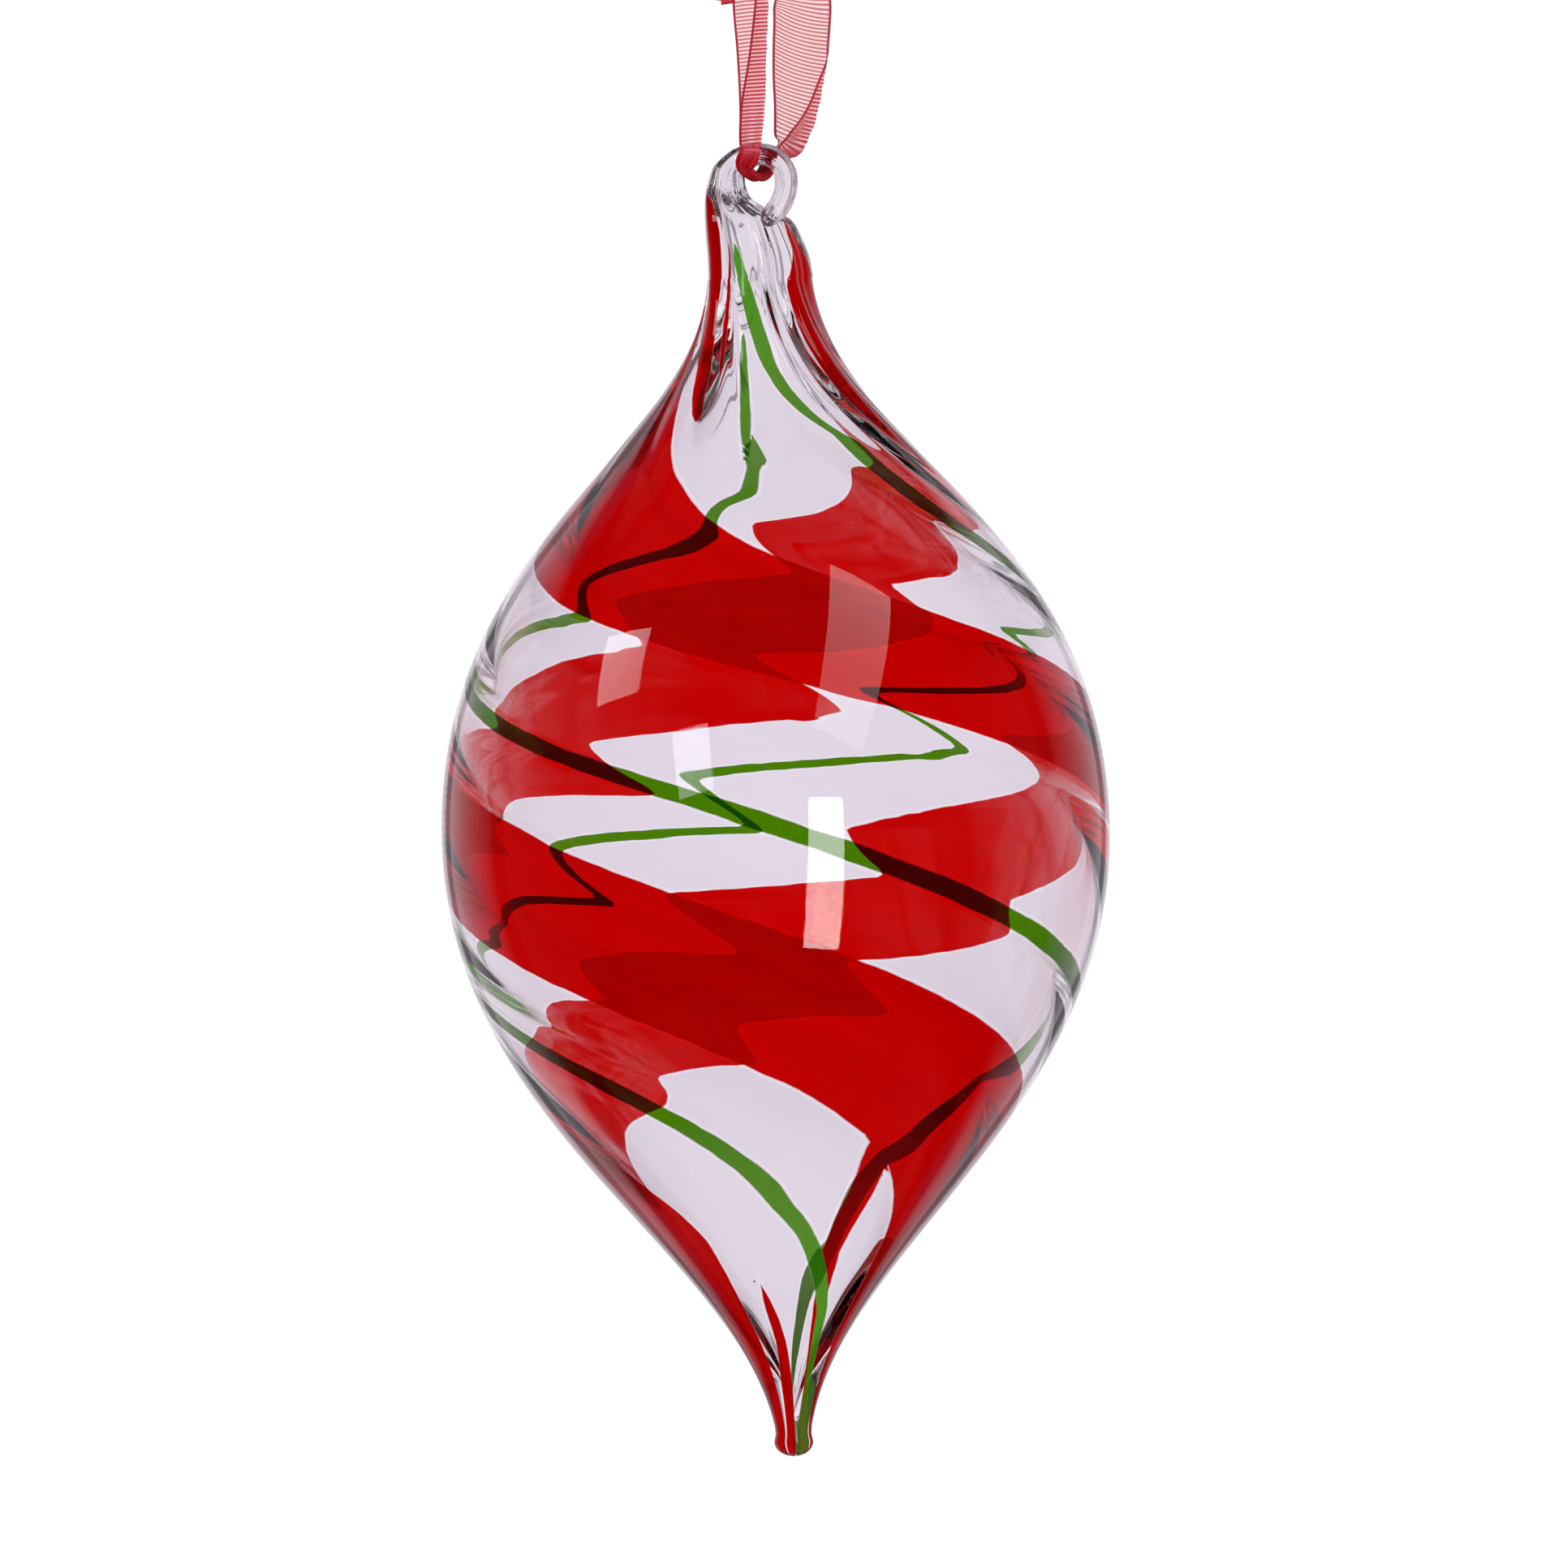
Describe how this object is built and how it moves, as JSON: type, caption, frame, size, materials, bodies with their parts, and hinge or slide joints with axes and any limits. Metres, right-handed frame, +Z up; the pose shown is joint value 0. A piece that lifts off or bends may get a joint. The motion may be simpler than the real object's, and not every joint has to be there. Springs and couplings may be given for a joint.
{
  "type": "glass drop ornament",
  "caption": "Hollow blown clear glass drop with twisting red bands and green canes, a glass eye on its neck and a tied ribbon loop to hang it by.",
  "frame": {"origin": "the hanging point, inside the top of the ribbon's loop", "axes": "+Z up along the load line, out of the loop; -Y the side that the picture shows; +X to its right"},
  "size_m": [0.0802, 0.0803, 0.2456],
  "materials": {
    "clear_glass": "fire polished clear glass",
    "red_glass": "fire polished ruby red glass",
    "green_glass": "fire polished leaf green glass",
    "organza": "sheer red woven ribbon"
  },
  "bodies": {
    "root": {"glass_drop": "clear_glass", "hanging_eye": "clear_glass", "red_band_a": "red_glass", "red_band_b": "red_glass", "green_cane_a": "green_glass", "green_cane_b": "green_glass", "ribbon_strands": "organza", "ribbon_knot": "organza", "ribbon_hanger": "organza", "ribbon_tails": "organza"}
  },
  "joints": []
}
